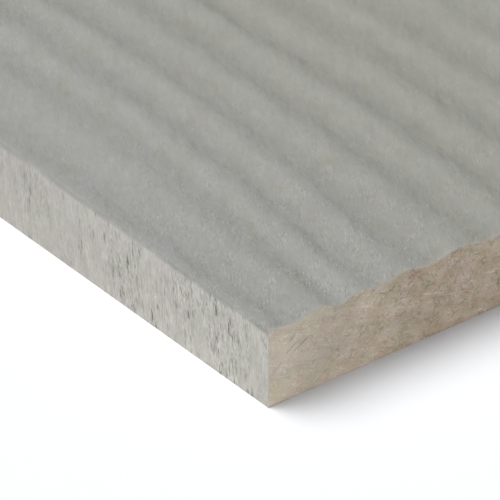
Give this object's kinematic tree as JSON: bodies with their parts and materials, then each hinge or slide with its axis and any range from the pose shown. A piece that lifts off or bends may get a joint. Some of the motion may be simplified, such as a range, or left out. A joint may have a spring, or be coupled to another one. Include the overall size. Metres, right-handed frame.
{
  "type": "fibre cement cladding plank",
  "caption": "Long flat fibre cement plank for lapped wall cladding, with a wavy wood grain face, square painted long edges, raw sawn ends and a flat back.",
  "frame": {"origin": "middle of the flat back, in the plane that the plank lies on", "axes": "+X along the length, +Y across the width, +Z out of the grain face"},
  "size_m": [3.6, 0.19, 0.01],
  "materials": {
    "painted_fibre_cement": "matt grey paint on a rough wood grain face, raw sawn ends"
  },
  "bodies": {
    "root": {"cladding_plank": "painted_fibre_cement"}
  },
  "joints": []
}
